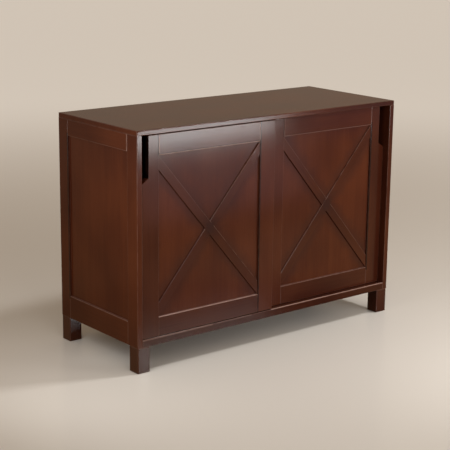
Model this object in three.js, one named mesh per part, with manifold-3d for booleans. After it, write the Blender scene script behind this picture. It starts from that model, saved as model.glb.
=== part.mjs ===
// Sliding-door cabinet: a low two-door cupboard on four square legs.
// The sides and both doors are frame-and-panel work. Each door carries a half-lapped
// cross brace and runs on nylon glides in a groove of the bottom board, steered by pins
// in a groove of the top board, so the two doors pass each other.
//
// Millimetres. +X to the right, +Y to the back, +Z up.
// The origin is on the floor, under the middle of the cabinet.

import * as THREE from 'three';
import { mergeVertices } from 'three/addons/utils/BufferGeometryUtils.js';
import Module from 'manifold-3d';

const wasm = await Module();
wasm.setup();

// ---------------------------------------------------------------- overall size
const WIDTH = 1000;
const DEPTH = 400;
const HEIGHT = 700;

// ---------------------------------------------------------------- boards
const TOP_THICK = 14;
const TOP_EASE = 2.5; // radius worked along the upper edges of the top board
const TOP_LOWER_EASE = 1.5;
const FLOOR_THICK = 22.5; // the bottom board, whose front edge shows as a rail
const FLOOR_EASE = 1;
const BACK_THICK = 6;
const BACK_INSET = 2; // back board in from the back edges of the sides
const BACK_REBATE = 8; // how far the back board laps onto the sides
const BACK_HEAD_REBATE = 7; // how far it rises into the top board
const DIVIDER_THICK = 15;
const SHELF_THICK = 15;
const SHELF_HEIGHT = 300; // top of the bottom board to the top of a shelf
const SHELF_PLAY = 1; // gap at each end of a shelf
const SHELF_SETBACK = 6; // shelf edge behind the front of its cleats
const CLEAT_WIDTH = 12;
const CLEAT_HEIGHT = 20;

// ---------------------------------------------------------------- legs
const LEG_HEIGHT = 76.5; // floor to the underside of the carcass, with the foot glide
const LEG_SIZE = 42;
const LEG_INSET = 0.5;
const LEG_EASE = 2.5;
const LEG_FOOT_EASE = 1;
const FOOT_RADIUS = 16;
const FOOT_THICK = 1.2;

// ---------------------------------------------------------------- side frames
const SIDE_THICK = 17;
const SIDE_FRONT_STILE = 48;
const SIDE_BACK_STILE = 48;
const SIDE_TOP_RAIL = 48.5;
const SIDE_BOTTOM_RAIL = 70;
const SIDE_RECESS = 6; // panel face behind the frame face

// ---------------------------------------------------------------- doors
const DOOR_THICK = 18;
const DOOR_STILE = 58;
const DOOR_TOP_RAIL = 58.5;
const DOOR_BOTTOM_RAIL = 56.5;
const DOOR_RECESS = 6;
const DOOR_SETBACK = 3; // front door behind the front edge of the carcass
const DOOR_PASS_GAP = 1.5; // between the doors where they pass
const DOOR_SIDE_GAP = 1; // door edge to cabinet side when closed
const DOOR_OVERLAP = 6; // how far the closed doors cover each other
const DOOR_FOOT_GAP = 1;
const DOOR_HEAD_GAP = 2;
const DOOR_INNER_GAP = 3.5; // rear door to whatever stands behind it
const NOTCH_WIDTH = 23; // finger notch in the top outer corner
const NOTCH_DROP = 120;
const NOTCH_SLOPE = 15; // fall of the notch's sloping foot
const BRACE_LANDING = 42; // length of a brace end where it meets the stile
const BRACE_SETBACK = 2; // brace faces behind the face of the door frame
const LAP_PLAY = 0.3; // around the half lap where the braces cross

// ---------------------------------------------------------------- frame joinery
const PANEL_THICK = 5;
const GROOVE_DEPTH = 9; // in the inner edges of stiles and rails
const GROOVE_PLAY = 0.2; // groove wider than the panel and tenons
const PANEL_PLAY = 1; // panel and tenons short of the groove bottom
const JOINT_CHAMFER = 1; // makes the V line where a rail meets a stile
const EDGE_EASE = 1.5; // outer edges of frames and boards

// ---------------------------------------------------------------- door running gear
const GLIDE_WIDTH = 5;
const GLIDE_LENGTH = 36;
const GLIDE_BODY_WIDTH = 10;
const GLIDE_BODY_DEPTH = 12;
const TRACK_DEPTH = 5; // groove in the bottom board
const TRACK_PLAY = 0.4; // each side of the glide or pin
const GLIDE_FOOT_GAP = 0.3;
const PIN_RADIUS = 2.5;
const PIN_TIP_GAP = 1;
const HEAD_TRACK_DEPTH = 7; // groove in the top board
const SLEEVE_RADIUS = 5;
const SLEEVE_LENGTH = 24;
const SEAT_PLAY = 0.3; // around sleeves, glides and the back board in their seats

// ---------------------------------------------------------------- levels and planes
const FRONT = -DEPTH / 2;
const BACK = DEPTH / 2;
const HALF_WIDTH = WIDTH / 2;
const INNER_X = HALF_WIDTH - SIDE_THICK; // inner face of a side frame
const CARCASS_TOP = HEIGHT - TOP_THICK;
const SIDE_HEIGHT = CARCASS_TOP - LEG_HEIGHT;
const FLOOR_TOP = LEG_HEIGHT + FLOOR_THICK;
const BACK_FACE = BACK - BACK_INSET - BACK_THICK; // inner face of the back board

const DOOR_WIDTH = INNER_X - DOOR_SIDE_GAP + DOOR_OVERLAP / 2;
const DOOR_BOTTOM = FLOOR_TOP + DOOR_FOOT_GAP;
const DOOR_HEIGHT = CARCASS_TOP - DOOR_HEAD_GAP - DOOR_BOTTOM;
const DOOR_CENTRE_X = INNER_X - DOOR_SIDE_GAP - DOOR_WIDTH / 2;
const FRONT_DOOR_Y = FRONT + DOOR_SETBACK;
const REAR_DOOR_Y = FRONT_DOOR_Y + DOOR_THICK + DOOR_PASS_GAP;
const INTERIOR_FRONT = REAR_DOOR_Y + DOOR_THICK + DOOR_INNER_GAP;
const SHELF_TOP = FLOOR_TOP + SHELF_HEIGHT;

const ARC_STEPS = 3; // facets in an eased edge
const ROUND_STEPS = 24; // facets round a pin or foot

// ---------------------------------------------------------------- materials
function finish(colour, roughness) {
  return { color: colour, roughness, metalness: 0, flatShading: true };
}
const FRAME_WOOD = finish(0x4a291f, 0.38);
const PANEL_WOOD = finish(0x45251b, 0.4);
const INSIDE_WOOD = finish(0x3c241b, 0.55);
const BACK_WOOD = finish(0x34211a, 0.7);
const NYLON = finish(0x1c1a19, 0.5);

// ---------------------------------------------------------------- shapes
// A closed three.js geometry as a solid that can be joined and cut.
function solid(geometry) {
  geometry.deleteAttribute('normal');
  geometry.deleteAttribute('uv');
  const merged = mergeVertices(geometry, 1e-4);
  const corners = merged.index.array;
  const kept = [];
  for (let i = 0; i < corners.length; i += 3) {
    const [a, b, c] = corners.slice(i, i + 3);
    if (a !== b && b !== c && c !== a) {
      kept.push(a, b, c);
    }
  }
  return new wasm.Manifold(new wasm.Mesh({
    numProp: 3,
    vertProperties: merged.attributes.position.array,
    triVerts: new Uint32Array(kept),
  }));
}

// A rectangle with rounded corners: one radius, or one for each corner in the order
// low-low, high-low, high-high, low-high.
function easedOutline(u, v, ease) {
  const [ll, hl, hh, lh] = Array.isArray(ease) ? ease : [ease, ease, ease, ease];
  const shape = new THREE.Shape();
  const corner = (centreU, centreV, radius, start) => {
    if (radius > 0) {
      shape.absarc(centreU, centreV, radius, start, start + Math.PI / 2, false);
    }
  };
  shape.moveTo(u[0] + ll, v[0]);
  shape.lineTo(u[1] - hl, v[0]);
  corner(u[1] - hl, v[0] + hl, hl, -Math.PI / 2);
  shape.lineTo(u[1], v[1] - hh);
  corner(u[1] - hh, v[1] - hh, hh, 0);
  shape.lineTo(u[0] + lh, v[1]);
  corner(u[0] + lh, v[1] - lh, lh, Math.PI / 2);
  shape.lineTo(u[0], v[0] + ll);
  corner(u[0] + ll, v[0] + ll, ll, Math.PI);
  return shape;
}

function polygon(points) {
  return new THREE.Shape(points.map(([u, v]) => new THREE.Vector2(u, v)));
}

// Directions in which an outline is run out into a prism. An outline is drawn in
// X and Y for 'z', in X and Z for 'y', and in Y and Z for 'x'.
const X = new THREE.Vector3(1, 0, 0);
const Y = new THREE.Vector3(0, 1, 0);
const Z = new THREE.Vector3(0, 0, 1);
const RUN = {
  x: new THREE.Matrix4().makeBasis(Y, Z, X),
  y: new THREE.Matrix4().makeBasis(X, Z, Y.clone().negate()),
  z: new THREE.Matrix4().makeBasis(X, Y, Z),
};

function prism(axis, outline, span) {
  const geometry = new THREE.ExtrudeGeometry(outline, {
    depth: span[1] - span[0],
    bevelEnabled: false,
    curveSegments: ARC_STEPS,
  });
  geometry.translate(0, 0, axis === 'y' ? -span[1] : span[0]);
  geometry.applyMatrix4(RUN[axis]);
  return solid(geometry);
}

function block(x, y, z) {
  return prism('z', easedOutline(x, y, 0), z);
}

// A round piece about an upright axis, from a profile of radius and height.
function turned(profile, x, y) {
  const geometry = new THREE.LatheGeometry(polygon(profile).getPoints(), ROUND_STEPS);
  geometry.rotateX(Math.PI / 2);
  geometry.translate(x, y, 0);
  return solid(geometry);
}

// ---------------------------------------------------------------- assembly
const cabinet = new THREE.Group();
const UNTURNED = new THREE.Matrix4();

// Adds a solid as a named mesh. The matrix only turns or mirrors it squarely.
function add(parent, name, shape, look, matrix = UNTURNED) {
  const { vertProperties, triVerts } = shape.getMesh();
  const geometry = new THREE.BufferGeometry();
  geometry.setAttribute('position', new THREE.BufferAttribute(vertProperties, 3));
  const mirrored = matrix.determinant() < 0;
  geometry.setIndex(Array.from(mirrored ? triVerts.toReversed() : triVerts));
  geometry.applyMatrix4(matrix);
  geometry.computeVertexNormals();
  const mesh = new THREE.Mesh(geometry, new THREE.MeshStandardMaterial(look));
  mesh.name = name;
  parent.add(mesh);
}

// ---------------------------------------------------------------- frame and panel
// A grooved frame with a flat panel, standing on Z = 0 and centred on X = 0, with its
// show face at Y = 0. Stiles run the full height and rails are tenoned between them.
function framedPanel({ width, height, thick, recess, stiles, topRail, bottomRail }) {
  const edge = width / 2;
  const left = -edge + stiles[0];
  const right = edge - stiles[1];
  const low = bottomRail;
  const high = height - topRail;
  const grooveY = [recess, recess + PANEL_THICK + GROOVE_PLAY];
  const insertY = [recess, recess + PANEL_THICK];
  const reach = GROOVE_DEPTH - PANEL_PLAY;

  // The show-face edges are eased all round, with a smaller chamfer at the joints.
  const faceEase = [EDGE_EASE, EDGE_EASE, EDGE_EASE, EDGE_EASE];
  const endEase = prism('x', easedOutline([0, thick], [0, height], faceEase), [-edge, edge]);

  const stile = (x, innerSide) => {
    const outer = EDGE_EASE;
    const inner = JOINT_CHAMFER;
    const corners = innerSide > 0 ? [outer, inner, inner, outer] : [inner, outer, outer, inner];
    const groove = innerSide > 0 ? [x[1] - GROOVE_DEPTH, x[1] + 1] : [x[0] - 1, x[0] + GROOVE_DEPTH];
    return prism('z', easedOutline(x, [0, thick], corners), [0, height])
      .intersect(endEase)
      .subtract(block(groove, grooveY, [-1, height + 1]));
  };

  const rail = (z, innerSide) => {
    const outer = EDGE_EASE;
    const inner = JOINT_CHAMFER;
    const corners = innerSide > 0 ? [outer, outer, inner, inner] : [inner, inner, outer, outer];
    const groove = innerSide > 0 ? [z[1] - GROOVE_DEPTH, z[1] + 1] : [z[0] - 1, z[0] + GROOVE_DEPTH];
    const ends = prism('z', easedOutline([left, right], [0, thick], inner), z);
    const tenonZ = innerSide > 0
      ? [z[0] + outer, z[1] - GROOVE_DEPTH]
      : [z[0] + GROOVE_DEPTH, z[1] - outer];
    return prism('x', easedOutline([0, thick], z, corners), [left, right])
      .intersect(ends)
      .subtract(block([left - 1, right + 1], grooveY, groove))
      .add(block([left - reach, right + reach], insertY, tenonZ));
  };

  return {
    left,
    right,
    low,
    high,
    leftStile: stile([-edge, left], 1),
    rightStile: stile([right, edge], -1),
    topRail: rail([high, height], -1),
    bottomRail: rail([0, low], 1),
    panel: block([left - reach, right + reach], insertY, [low - reach, high + reach]),
  };
}

// ---------------------------------------------------------------- sides
// Outer face of a side frame to the outside of the cabinet. The frame is drawn with its
// back stile at +X, which suits the right side, and is mirrored for the left.
function addSide(name, side) {
  const frame = framedPanel({
    width: DEPTH,
    height: SIDE_HEIGHT,
    thick: SIDE_THICK,
    recess: SIDE_RECESS,
    stiles: [SIDE_FRONT_STILE, SIDE_BACK_STILE],
    topRail: SIDE_TOP_RAIL,
    bottomRail: SIDE_BOTTOM_RAIL,
  });
  const rebate = block(
    [BACK_FACE, BACK + 1],
    [SIDE_THICK - BACK_REBATE, SIDE_THICK + 1],
    [-1, SIDE_HEIGHT + 1],
  );
  const matrix = new THREE.Matrix4().makeBasis(
    Y,
    X.clone().multiplyScalar(-side),
    Z,
  ).setPosition(side * HALF_WIDTH, 0, LEG_HEIGHT);
  add(cabinet, `${name}_side_front_stile`, frame.leftStile, FRAME_WOOD, matrix);
  add(cabinet, `${name}_side_back_stile`, frame.rightStile.subtract(rebate), FRAME_WOOD, matrix);
  add(cabinet, `${name}_side_top_rail`, frame.topRail, FRAME_WOOD, matrix);
  add(cabinet, `${name}_side_bottom_rail`, frame.bottomRail, FRAME_WOOD, matrix);
  add(cabinet, `${name}_side_panel`, frame.panel, PANEL_WOOD, matrix);
}

// ---------------------------------------------------------------- boards
// Grooves along the cabinet in which the doors run, one for each door.
function tracks(width, z) {
  const grooves = [FRONT_DOOR_Y, REAR_DOOR_Y].map((doorY) => {
    const centre = doorY + DOOR_THICK / 2;
    return block([-HALF_WIDTH, HALF_WIDTH], [centre - width / 2, centre + width / 2], z);
  });
  return grooves[0].add(grooves[1]);
}

function addTop() {
  const x = [-HALF_WIDTH, HALF_WIDTH];
  const y = [FRONT, BACK];
  const z = [CARCASS_TOP, HEIGHT];
  const pinTrack = 2 * (PIN_RADIUS + TRACK_PLAY);
  const headTracks = tracks(pinTrack, [CARCASS_TOP - 1, CARCASS_TOP + HEAD_TRACK_DEPTH])
    .intersect(block([-INNER_X, INNER_X], y, [CARCASS_TOP - 1, HEIGHT]));
  const backRebate = block(
    [-INNER_X - BACK_REBATE, INNER_X + BACK_REBATE],
    [BACK_FACE, BACK + 1],
    [CARCASS_TOP - 1, CARCASS_TOP + BACK_HEAD_REBATE],
  );
  const ease = [TOP_LOWER_EASE, TOP_LOWER_EASE, TOP_EASE, TOP_EASE];
  const board = prism('x', easedOutline(y, z, ease), x)
    .intersect(prism('y', easedOutline(x, z, ease), y))
    .intersect(prism('z', easedOutline(x, y, TOP_EASE), z))
    .subtract(headTracks)
    .subtract(backRebate);
  add(cabinet, 'top_panel', board, FRAME_WOOD);
}

function addBottom() {
  const floorTracks = tracks(GLIDE_WIDTH + 2 * TRACK_PLAY, [FLOOR_TOP - TRACK_DEPTH, FLOOR_TOP + 1]);
  const ease = [FLOOR_EASE, 0, 0, FLOOR_EASE];
  const outline = easedOutline([FRONT, BACK_FACE], [LEG_HEIGHT, FLOOR_TOP], ease);
  const board = prism('x', outline, [-INNER_X, INNER_X]).subtract(floorTracks);
  add(cabinet, 'bottom_panel', board, FRAME_WOOD);
}

function addInterior() {
  const lap = BACK_REBATE - SEAT_PLAY;
  const backTop = CARCASS_TOP + BACK_HEAD_REBATE - SEAT_PLAY;
  const backY = [BACK_FACE, BACK_FACE + BACK_THICK];
  const back = block([-INNER_X - lap, INNER_X + lap], backY, [LEG_HEIGHT, backTop]);
  add(cabinet, 'back_panel', back, BACK_WOOD);
  const half = DIVIDER_THICK / 2;
  const divider = block([-half, half], [INTERIOR_FRONT, BACK_FACE], [FLOOR_TOP, CARCASS_TOP]);
  add(cabinet, 'centre_divider', divider, INSIDE_WOOD);

  for (const [name, side] of [['left', -1], ['right', 1]]) {
    const ordered = (a, b) => [Math.min(side * a, side * b), Math.max(side * a, side * b)];
    const shelfX = ordered(half + SHELF_PLAY, INNER_X - SHELF_PLAY);
    const shelfOutline = easedOutline(
      [INTERIOR_FRONT + SHELF_SETBACK, BACK_FACE - SHELF_PLAY],
      [SHELF_TOP - SHELF_THICK, SHELF_TOP],
      [EDGE_EASE, 0, 0, EDGE_EASE],
    );
    add(cabinet, `${name}_shelf`, prism('x', shelfOutline, shelfX), INSIDE_WOOD);
    const cleatTop = SHELF_TOP - SHELF_THICK;
    const cleat = (x) => block(x, [INTERIOR_FRONT, BACK_FACE], [cleatTop - CLEAT_HEIGHT, cleatTop]);
    const outerCleat = cleat(ordered(INNER_X - CLEAT_WIDTH, INNER_X));
    const innerCleat = cleat(ordered(half, half + CLEAT_WIDTH));
    add(cabinet, `${name}_outer_shelf_cleat`, outerCleat, INSIDE_WOOD);
    add(cabinet, `${name}_inner_shelf_cleat`, innerCleat, INSIDE_WOOD);
  }
}

// ---------------------------------------------------------------- legs
function addLegs() {
  const z = [FOOT_THICK, LEG_HEIGHT];
  const foot = LEG_FOOT_EASE;
  const outX = HALF_WIDTH - LEG_INSET;
  const outY = BACK - LEG_INSET;
  for (const [sideName, sideX] of [['left', -1], ['right', 1]]) {
    for (const [endName, sideY] of [['front', -1], ['back', 1]]) {
      const centreX = sideX * (outX - LEG_SIZE / 2);
      const centreY = sideY * (outY - LEG_SIZE / 2);
      const x = [centreX - LEG_SIZE / 2, centreX + LEG_SIZE / 2];
      const y = [centreY - LEG_SIZE / 2, centreY + LEG_SIZE / 2];
      const leg = prism('z', easedOutline(x, y, LEG_EASE), z)
        .intersect(prism('x', easedOutline(y, z, [foot, foot, 0, 0]), x))
        .intersect(prism('y', easedOutline(x, z, [foot, foot, 0, 0]), y));
      add(cabinet, `${sideName}_${endName}_leg`, leg, FRAME_WOOD);
      const rim = FOOT_THICK / 2;
      const profile = [
        [0, 0],
        [FOOT_RADIUS - rim, 0],
        [FOOT_RADIUS, rim],
        [FOOT_RADIUS, FOOT_THICK],
        [0, FOOT_THICK],
      ];
      add(cabinet, `${sideName}_${endName}_foot_glide`, turned(profile, centreX, centreY), NYLON);
    }
  }
}

// ---------------------------------------------------------------- doors
// The crossed braces lie on the panel, just behind the frame's face. A brace end lands on a
// stile with one edge in the corner, and the two are half lapped where they cross.
// The outer brace rises to the outer stile, and the inner brace to the inner stile.
function crossBraces({ left, right, low, high }) {
  const slope = (high - low - BRACE_LANDING) / (right - left);
  const middle = (low + high) / 2;
  const rise = BRACE_LANDING / 2;
  const waist = rise / slope;
  const outline = polygon([
    [left, high],
    [left, high - BRACE_LANDING],
    [-waist, middle],
    [left, low + BRACE_LANDING],
    [left, low],
    [0, middle - rise],
    [right, low],
    [right, low + BRACE_LANDING],
    [waist, middle],
    [right, high - BRACE_LANDING],
    [right, high],
    [0, middle + rise],
  ]);
  const geometry = new THREE.ExtrudeGeometry(outline, {
    depth: DOOR_RECESS - BRACE_SETBACK - JOINT_CHAMFER,
    bevelThickness: JOINT_CHAMFER,
    bevelSize: JOINT_CHAMFER,
    bevelOffset: -JOINT_CHAMFER,
    bevelSegments: 1,
  });
  geometry.translate(0, 0, -DOOR_RECESS);
  geometry.applyMatrix4(RUN.y);
  const cross = solid(geometry).intersect(block([left, right], [0, DOOR_RECESS], [low, high]));

  // The strip that one brace fills, widened or narrowed by the play of the lap.
  const strip = (direction, play, y) => {
    const over = rise + play;
    const end = (high - low - BRACE_LANDING) / 2;
    return prism('y', polygon([
      [left, middle - direction * end - over],
      [right, middle + direction * end - over],
      [right, middle + direction * end + over],
      [left, middle - direction * end + over],
    ]), y);
  };
  const half = (BRACE_SETBACK + DOOR_RECESS) / 2;
  const whole = [-1, DOOR_RECESS + 1];
  const lapFront = [-1, half + LAP_PLAY / 2];
  const lapBack = [half - LAP_PLAY / 2, DOOR_RECESS + 1];
  return {
    outer: cross.intersect(strip(1, 0, whole)).subtract(strip(-1, LAP_PLAY, lapBack)),
    inner: cross.intersect(strip(-1, 0, whole)).subtract(strip(1, LAP_PLAY, lapFront)),
  };
}

// Nylon glide let into the foot of a stile, with a tongue that runs in the track.
function glide(x) {
  const centre = DOOR_THICK / 2;
  const tip = -DOOR_FOOT_GAP - TRACK_DEPTH + GLIDE_FOOT_GAP;
  const spanX = [x - GLIDE_LENGTH / 2, x + GLIDE_LENGTH / 2];
  const tongueEase = GLIDE_WIDTH / 2 - TRACK_PLAY;
  const tongueOutline = easedOutline(spanX, [tip, 1], [tongueEase, tongueEase, 0, 0]);
  const tongue = prism('y', tongueOutline, [centre - GLIDE_WIDTH / 2, centre + GLIDE_WIDTH / 2]);
  const half = GLIDE_BODY_WIDTH / 2;
  return tongue.add(block(spanX, [centre - half, centre + half], [0, GLIDE_BODY_DEPTH]));
}

function glideSeat(x) {
  const halfX = GLIDE_LENGTH / 2 + SEAT_PLAY;
  const halfY = GLIDE_BODY_WIDTH / 2 + SEAT_PLAY;
  const centre = DOOR_THICK / 2;
  return block([x - halfX, x + halfX], [centre - halfY, centre + halfY], [-1, GLIDE_BODY_DEPTH]);
}

// Guide pin in a sleeve let into the head of a stile. The pin reaches into the track.
function guide(x) {
  const tip = DOOR_HEIGHT + DOOR_HEAD_GAP + HEAD_TRACK_DEPTH - PIN_TIP_GAP;
  const seat = DOOR_HEIGHT - SLEEVE_LENGTH;
  const nose = PIN_RADIUS / 2;
  const profile = [
    [0, seat],
    [SLEEVE_RADIUS, seat],
    [SLEEVE_RADIUS, DOOR_HEIGHT],
    [PIN_RADIUS, DOOR_HEIGHT],
    [PIN_RADIUS, tip - nose],
    [PIN_RADIUS - nose, tip],
    [0, tip],
  ];
  return turned(profile, x, DOOR_THICK / 2);
}

function guideSeat(x) {
  const seat = DOOR_HEIGHT - SLEEVE_LENGTH;
  const radius = SLEEVE_RADIUS + SEAT_PLAY;
  const profile = [[0, seat], [radius, seat], [radius, DOOR_HEIGHT + 1], [0, DOOR_HEIGHT + 1]];
  return turned(profile, x, DOOR_THICK / 2);
}

// A door is drawn with its outer edge at +X, which suits the right door, and is
// mirrored for the left.
function addDoor(name, side, doorY) {
  const frame = framedPanel({
    width: DOOR_WIDTH,
    height: DOOR_HEIGHT,
    thick: DOOR_THICK,
    recess: DOOR_RECESS,
    stiles: [DOOR_STILE, DOOR_STILE],
    topRail: DOOR_TOP_RAIL,
    bottomRail: DOOR_BOTTOM_RAIL,
  });
  const edge = DOOR_WIDTH / 2;
  const notchOutline = polygon([
    [edge + 1, DOOR_HEIGHT + 1],
    [edge - NOTCH_WIDTH, DOOR_HEIGHT + 1],
    [edge - NOTCH_WIDTH, DOOR_HEIGHT - NOTCH_DROP],
    [edge, DOOR_HEIGHT - NOTCH_DROP - NOTCH_SLOPE],
    [edge + 1, DOOR_HEIGHT - NOTCH_DROP - NOTCH_SLOPE],
  ]);
  const notch = prism('y', notchOutline, [-1, DOOR_THICK + 1]);
  const outerGlideX = edge - DOOR_STILE / 2;
  const innerGlideX = -edge + DOOR_STILE / 2;
  const outerGuideX = edge - (NOTCH_WIDTH + DOOR_STILE - GROOVE_DEPTH) / 2;
  const innerGuideX = innerGlideX;
  const outerStile = frame.rightStile
    .subtract(notch)
    .subtract(glideSeat(outerGlideX))
    .subtract(guideSeat(outerGuideX));
  const innerStile = frame.leftStile
    .subtract(glideSeat(innerGlideX))
    .subtract(guideSeat(innerGuideX));
  const braces = crossBraces(frame);

  const door = new THREE.Group();
  door.position.set(side * DOOR_CENTRE_X, doorY, DOOR_BOTTOM);
  cabinet.add(door);
  const matrix = new THREE.Matrix4().makeScale(side, 1, 1);
  add(door, `${name}_door_outer_stile`, outerStile, FRAME_WOOD, matrix);
  add(door, `${name}_door_inner_stile`, innerStile, FRAME_WOOD, matrix);
  add(door, `${name}_door_top_rail`, frame.topRail, FRAME_WOOD, matrix);
  add(door, `${name}_door_bottom_rail`, frame.bottomRail, FRAME_WOOD, matrix);
  add(door, `${name}_door_panel`, frame.panel, PANEL_WOOD, matrix);
  add(door, `${name}_door_outer_brace`, braces.outer, FRAME_WOOD, matrix);
  add(door, `${name}_door_inner_brace`, braces.inner, FRAME_WOOD, matrix);
  add(door, `${name}_door_outer_glide`, glide(outerGlideX), NYLON, matrix);
  add(door, `${name}_door_inner_glide`, glide(innerGlideX), NYLON, matrix);
  add(door, `${name}_door_outer_guide`, guide(outerGuideX), NYLON, matrix);
  add(door, `${name}_door_inner_guide`, guide(innerGuideX), NYLON, matrix);
}

addTop();
addBottom();
addInterior();
addSide('left', -1);
addSide('right', 1);
addLegs();
addDoor('left', -1, FRONT_DOOR_Y);
addDoor('right', 1, REAR_DOOR_Y);

export default cabinet;
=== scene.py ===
"""Finish, fixings, floor, light and camera for the sliding-door cabinet."""

import math

import bpy
from mathutils import Euler, Matrix, Vector


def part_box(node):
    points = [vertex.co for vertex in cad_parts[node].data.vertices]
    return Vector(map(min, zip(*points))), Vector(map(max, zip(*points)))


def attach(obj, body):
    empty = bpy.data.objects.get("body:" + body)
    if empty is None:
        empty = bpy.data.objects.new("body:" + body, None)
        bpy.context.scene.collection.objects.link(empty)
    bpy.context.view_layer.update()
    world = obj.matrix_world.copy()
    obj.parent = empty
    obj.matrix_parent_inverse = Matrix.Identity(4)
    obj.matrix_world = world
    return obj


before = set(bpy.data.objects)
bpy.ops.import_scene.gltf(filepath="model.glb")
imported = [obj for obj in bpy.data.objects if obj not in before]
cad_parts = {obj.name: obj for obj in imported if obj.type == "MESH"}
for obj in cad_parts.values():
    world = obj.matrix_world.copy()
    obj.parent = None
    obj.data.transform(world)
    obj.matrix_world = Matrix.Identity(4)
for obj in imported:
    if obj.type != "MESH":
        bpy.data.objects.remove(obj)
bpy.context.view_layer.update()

SIDES = {"left": -1, "right": 1}
FRONT_DOOR = "left"

# Sizes that the joinery gives.
BRACE_LANDING = 0.042  # length of a brace end along the stile
TENON = 0.008  # how far panels and tenons go into their grooves
NOTCH_WIDTH = 0.023
NOTCH_DROP = 0.120  # from the top of the door to the foot of the notch

# Places of the screws, and the shape of their heads.
BACK_INSET = 0.004  # from the sides and the top of the back board
BACK_FOOT = 0.012  # from the foot of the back board
CLEAT_INSET = 0.12  # from the ends of a cleat, as a share of its length
SPIN_STEP = 1.1  # radians that each screw is driven past the last
DOME = 0.7  # share of the head's height over which its rim is rounded
RECESS_LENGTH = 1.05  # of the cross recess, as a share of the head's radius
RECESS_WIDTH = 0.24  # the same
RECESS_HEIGHT = 1.2  # of the block that cuts it, as a share of the head's height

# Reach of the stains, the dust and the painted highlights and shade.
BORDER = 0.0006  # over which a narrow patch fades
PAST = 0.001  # how far a patch goes past an edge that it covers to the end
FRONT_REACH = 0.002  # of a patch on a front edge, to either side of the face
POOL_REACH = 0.075  # of the gathered stain from where the braces cross, and of the painted shade beside them
POOL_ALONG = 0.6  # how much shows beside the braces on a panel, as painted shade
CROSSING = 0.85  # share of the crossing's size that the stain over it reaches
CROSSING_BORDER = 0.004
CLOUD_RISE = Vector((0.01, 0.0, 0.11))  # from the crossing to the middle of the cloud above it
CLOUD_REACH = Vector((0.12, 0.12, 0.12))
CLOUD_BORDER = 0.08
BRACE_SHADE_PAST = 0.02  # how far the painted shade goes past the lower half of its brace
BRACE_SHADE_BORDER = 0.04
THROUGH = 0.05  # enough to take in a board's whole thickness
LEDGE_REACH = 0.0016  # of the dust and painted highlight below the top of a ledge
LEDGE_DEPTH = 0.0045  # of the dust and painted highlight on the bottom board, from its front edge
FOOT_LINE_WIDTH = 0.0024  # of the painted highlight along the foot of a rail, and of the painted shade line above it
END_WIDTH = 0.0022  # of the painted highlight at the end of a door's rail
SIDE_END_WIDTH = 0.004  # the same on the sides

# Lengths of painted highlight along the top of the bottom board's front edge, from its left end,
# which fade it towards the right. Each has the place of its right end and its strength.
HIGHLIGHT_LENGTHS = ((-0.23, 0.23), (-0.08, 0.13))
HIGHLIGHT_DROP = 0.0045  # from the top of the edge
# Left ends of darker patches on the top board's front edge, each up to its right end, darker to the
# right.
DARK_LENGTHS = (0.22, 0.26, 0.30, 0.34)

# How strongly some of the marks show.
BRACE_EDGE_LINE = 1.5  # times the usual pale edge line, which is partly thin stain and partly painted highlight
DARK_LAYER = 0.2  # one of those patches on the top board's front edge
SIDE_END_HIGHLIGHT = 0.32  # the painted highlight at the front end of a side's top rail
SIDE_FOOT_LINES = 0.05  # the painted highlight and shade line along its foot
REAR_RAIL_LINES = 0.25  # share of the front door's painted rail highlights and shade lines that shows on the rear door
REAR_SEAM = 0.5  # the same for the seam beside its top rail

# Share of the stain's colour that shows on parts that took it differently.
FRAME_TINT = (0.82, 0.90, 1.08)
BASE_TINT = (0.68, 0.76, 0.95)
BACK_TINT = (0.7, 0.7, 0.7)
PANEL_TINT = (1.05, 1.05, 1.05)
LEG_TINT = (0.57, 0.37, 0.45)

# Patterns in the stain and the wood. The scales are those of their noise.
MOTTLE_SCALES = {"patch": 55.0, "pool": 24.0, "wear": 30.0}
GRAIN_SCALES = {"clouds": 7.0, "figure": 30.0, "fibres": 260.0, "flecks": 620.0}
GRAIN_SQUEEZE = {"clouds": 0.7, "figure": 0.08, "fibres": 0.02, "flecks": 0.06}  # along it
GRAIN_SHARES = {"clouds": 0.6, "figure": 0.22, "fibres": 0.18}  # of each in the tone
GRAIN_SHIFT = Vector((7.3, 5.1, 3.7))  # times a board's place, so that no two boards match
PORE_SHADE = 0.45  # how far the pores go towards the dark stain
PORE_HEIGHT = -0.7  # against the surface round them
FIBRE_HEIGHT = 0.5
LACQUER_SWING = 0.02  # of the roughness, from dark wood to light
PLAIN_SWING = 0.06  # of the roughness of nylon and steel, either way

WHITE = (1.0, 1.0, 1.0)
BLACK = (0.0, 0.0, 0.0)

# The lamps, each with its place, what it faces and its width and height.
LAMPS = {
    "fill": ((-0.6, -3.6, 1.8), (0.0, 0.0, 0.4), (2.5, 2.5)),
    "side": ((-0.98, -0.30, 0.6), (-0.5, -0.15, 0.52), (0.4, 0.4)),
    "front": ((-1.6, -2.1, 2.4), (-0.2, -0.2, 0.4), (0.9, 0.9)),
    "key": ((1.5, -0.9, 2.8), (0.0, 0.0, 0.4), (0.45, 0.45)),
    "window": ((0.64, -1.39, 0.47), (0.80, -0.19, 0.70), (0.86, 0.18)),
    "sill": ((0.80, -1.39, 0.2), (0.80, -0.19, 0.3), (0.92, 0.25)),
    "shade": ((1.52, -1.39, 0.41), (1.52, -0.19, 0.5), (0.60, 0.17)),
}
CAMERA_PLACE = (-2.50210, -3.04481, 1.30566)
CAMERA_TURN = (76.01816, -0.68699, -38.95420)  # degrees about X, Y and Z
FLOOR_WIDTH = 60.0
DARK_FLOOR = (0.2, -0.43, 0.0)  # middle of the painted shadow on the floor before the doors

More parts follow.
